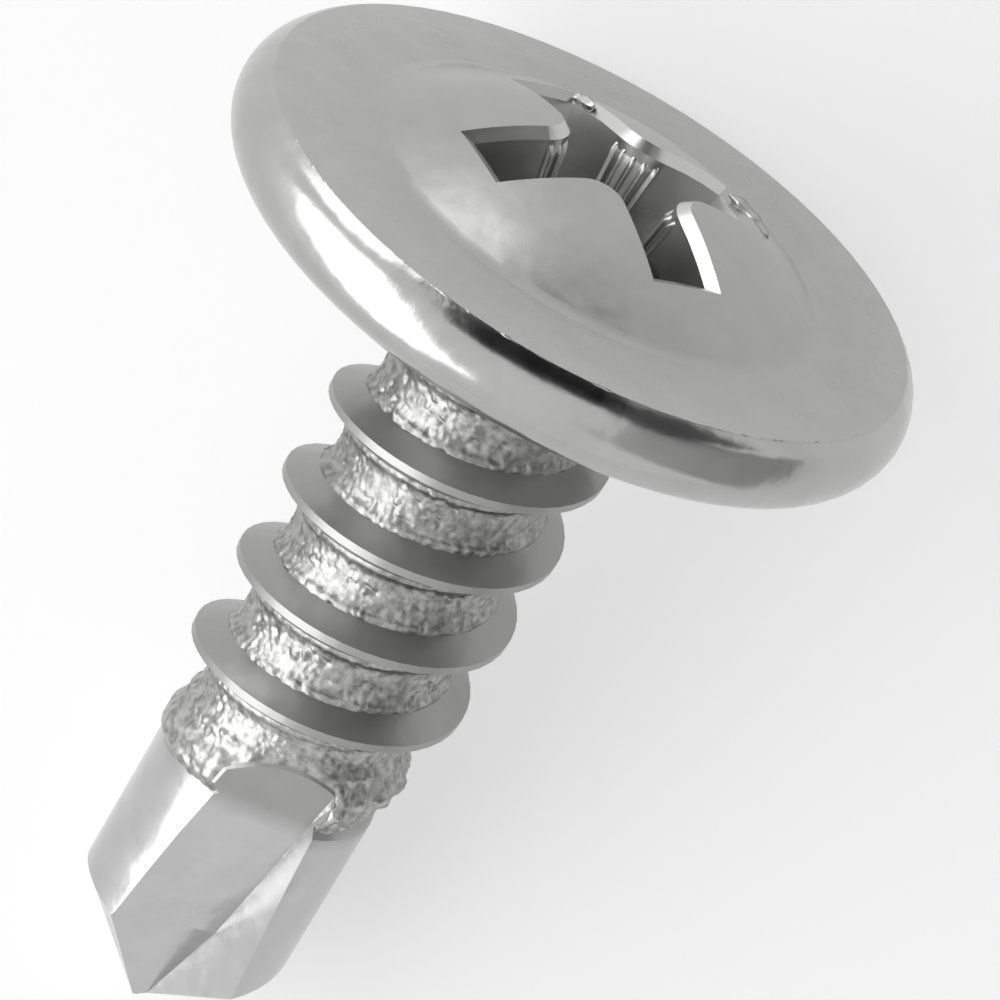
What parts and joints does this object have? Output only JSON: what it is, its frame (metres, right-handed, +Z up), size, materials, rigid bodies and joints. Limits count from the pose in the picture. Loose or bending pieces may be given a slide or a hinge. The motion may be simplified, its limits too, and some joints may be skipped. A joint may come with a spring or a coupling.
{
  "type": "self drilling screw",
  "caption": "Wafer-head self-drilling screw with a cross recess, a coarse tapping thread and a fluted drill point, lying on its side.",
  "frame": {"origin": "on the bench, under the middle of the screw's bounding box as it lies", "axes": "+X along the bench from the head towards the tip, +Z up. The screw's own axis lies in the XZ plane and slopes down by 17.8 degrees towards the tip."},
  "size_m": [0.0152, 0.0102, 0.0099],
  "materials": {
    "zinc_plated_steel": "satin zinc plating"
  },
  "bodies": {
    "root": {"screw": "zinc_plated_steel"}
  },
  "joints": []
}
